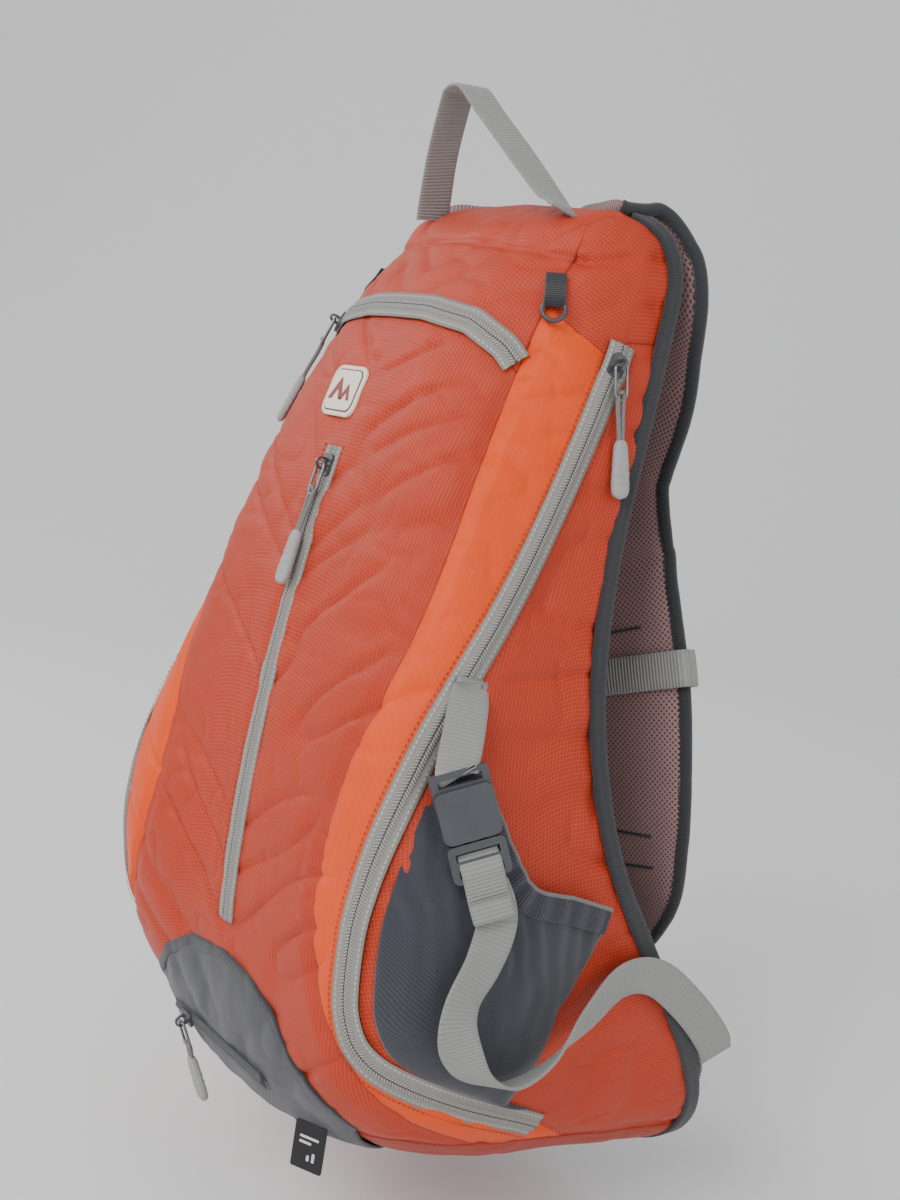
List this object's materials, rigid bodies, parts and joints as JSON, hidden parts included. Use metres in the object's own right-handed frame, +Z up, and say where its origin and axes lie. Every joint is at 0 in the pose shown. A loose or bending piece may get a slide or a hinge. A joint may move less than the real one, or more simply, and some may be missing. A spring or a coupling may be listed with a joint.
{
  "type": "travel backpack",
  "caption": "Small wedge-shaped hiking daypack hung by its grab loop, with zippered gussets, mesh side pockets, padded shoulder straps and buckled compression straps",
  "frame": {"origin": "hang point: inside of the top of the grab loop, where the hook carries the pack", "axes": "+X toward the right of someone facing the front, -Y out of the front face, +Z up"},
  "size_m": [0.332, 0.2474, 0.5667],
  "materials": {
    "ripstop_red": "ripstop weave, satin",
    "ripstop_orange": "ripstop weave, satin",
    "lining_fabric": "plain weave",
    "spacer_mesh": "spacer mesh over foam",
    "foam": "closed-cell foam",
    "binding_tape": "twill binding",
    "zipper_tape": "coil zipper tape",
    "stretch_mesh": "fine stretch mesh",
    "slate_fabric": "plain weave",
    "badge_rubber": "moulded rubber",
    "webbing": "ribbed webbing",
    "slider_metal": "dark plated zinc",
    "pull_rubber": "moulded grip on cord",
    "acetal": "moulded acetal"
  },
  "bodies": {
    "pack": {"front_panel": "ripstop_red", "top_panel": "ripstop_red", "gusset_r": "ripstop_orange", "gusset_l": "ripstop_orange", "side_panel_r": "ripstop_red", "side_panel_l": "ripstop_red", "bottom_panel": "ripstop_red", "back_panel": "lining_fabric", "back_binding": "binding_tape", "back_pads": "spacer_mesh", "foam_sheet": "foam", "hydration_sleeve": "lining_fabric", "arc_zip_tape": "zipper_tape", "front_zip_tape": "zipper_tape", "side_zip_tape_r": "zipper_tape", "side_zip_tape_l": "zipper_tape", "rain_zip_tape": "zipper_tape", "side_pocket_r": "stretch_mesh", "side_pocket_l": "stretch_mesh", "pocket_hem_r": "stretch_mesh", "pocket_hem_l": "stretch_mesh", "rain_pocket": "slate_fabric", "rain_cover": "slate_fabric", "side_label": "slate_fabric", "front_badge": "badge_rubber", "grab_loop": "webbing", "ring_tabs": "binding_tape", "buckle_stubs": "webbing", "buckle_female_r": "acetal", "buckle_female_l": "acetal", "compression_strap_r": "webbing", "compression_strap_l": "webbing", "shoulder_pad_r": "spacer_mesh", "shoulder_pad_l": "spacer_mesh", "pad_binding_r": "binding_tape", "pad_binding_l": "binding_tape", "lower_webbings": "webbing", "ladder_locks": "acetal"},
    "arc_slider": {"arc_slider": "slider_metal"},
    "arc_pull": {"arc_pull": "pull_rubber"},
    "front_slider": {"front_slider": "slider_metal"},
    "front_pull": {"front_pull": "pull_rubber"},
    "side_r_slider": {"side_slider_r": "slider_metal"},
    "side_l_slider": {"side_slider_l": "slider_metal"},
    "side_r_pull": {"side_pull_r": "pull_rubber"},
    "side_l_pull": {"side_pull_l": "pull_rubber"},
    "rain_slider": {"rain_slider": "slider_metal"},
    "rain_pull": {"rain_pull": "pull_rubber"},
    "ring_r": {"ring_r": "acetal"},
    "ring_l": {"ring_l": "acetal"},
    "buckle_male_r": {"buckle_male_r": "acetal"},
    "buckle_male_l": {"buckle_male_l": "acetal"},
    "sternum_r": {"sternum_band_r": "webbing", "sternum_buckle_r": "acetal"},
    "sternum_l": {"sternum_band_l": "webbing", "sternum_buckle_l": "acetal"}
  },
  "joints": [
    {"name": "front_slide", "type": "hinge", "parent": "pack", "child": "front_slider", "pos_m": [0.012, 0.8433, -0.49663], "axis": [1, 0, 0], "range_deg": [0, 13.52]},
    {"name": "front_pull_swing", "type": "hinge", "parent": "front_slider", "child": "front_pull", "pos_m": [0.012, -0.08054, -0.19836], "axis": [-1, 0, 0], "range_deg": [0, 110]},
    {"name": "side_r_slide", "type": "hinge", "parent": "pack", "child": "side_r_slider", "pos_m": [0.04166, -0.93278, 0.31096], "axis": [-0.9907, 0.009, -0.1354], "range_deg": [0, 7.42]},
    {"name": "side_r_pull_swing", "type": "hinge", "parent": "side_r_slider", "child": "side_r_pull", "pos_m": [0.1166, 0.02531, -0.13651], "axis": [-0.062, -0.9981, 0], "range_deg": [0, 110]},
    {"name": "side_l_slide", "type": "hinge", "parent": "pack", "child": "side_l_slider", "pos_m": [-0.01766, -0.93278, 0.31096], "axis": [-0.9907, -0.009, 0.1354], "range_deg": [0, 7.42]},
    {"name": "side_l_pull_swing", "type": "hinge", "parent": "side_l_slider", "child": "side_l_pull", "pos_m": [-0.09259, 0.02531, -0.13651], "axis": [-0.062, 0.9981, 0], "range_deg": [0, 110]},
    {"name": "arc_slide", "type": "hinge", "parent": "pack", "child": "arc_slider", "pos_m": [0.01298, 0.05138, -0.23227], "axis": [0.0026, 0.785, 0.6195], "range_deg": [0, 57.26]},
    {"name": "arc_pull_swing", "type": "hinge", "parent": "arc_slider", "child": "arc_pull", "pos_m": [-0.06261, -0.03495, -0.12479], "axis": [-0.8419, 0.5396, 0], "range_deg": [0, 110]},
    {"name": "rain_slide", "type": "slide", "parent": "pack", "child": "rain_slider", "axis": [1, 0, 0], "range_m": [0, 0.0707]},
    {"name": "rain_pull_swing", "type": "hinge", "parent": "rain_slider", "child": "rain_pull", "pos_m": [-0.02335, -0.12532, -0.51046], "axis": [-1, 0.0025, 0], "range_deg": [0, 110]},
    {"name": "ring_r_swing", "type": "hinge", "parent": "pack", "child": "ring_r", "pos_m": [0.0978, -0.00515, -0.10729], "axis": [-0.5955, -0.8034, 0], "range_deg": [0, 100]},
    {"name": "ring_l_swing", "type": "hinge", "parent": "pack", "child": "ring_l", "pos_m": [-0.07379, -0.00515, -0.10729], "axis": [-0.5955, 0.8034, 0], "range_deg": [0, 100]},
    {"name": "buckle_r_release", "type": "slide", "parent": "pack", "child": "buckle_male_r", "axis": [0.1971, 0.2413, -0.9502], "range_m": [0, 0.02]},
    {"name": "buckle_l_release", "type": "slide", "parent": "pack", "child": "buckle_male_l", "axis": [-0.1971, 0.2413, -0.9502], "range_m": [0, 0.02]},
    {"name": "sternum_r_slide", "type": "slide", "parent": "pack", "child": "sternum_r", "axis": [-0.313, 0.018, 0.9496], "range_m": [-0.012, 0.012]},
    {"name": "sternum_l_slide", "type": "slide", "parent": "pack", "child": "sternum_l", "axis": [0.313, 0.018, 0.9496], "range_m": [-0.012, 0.012]}
  ]
}
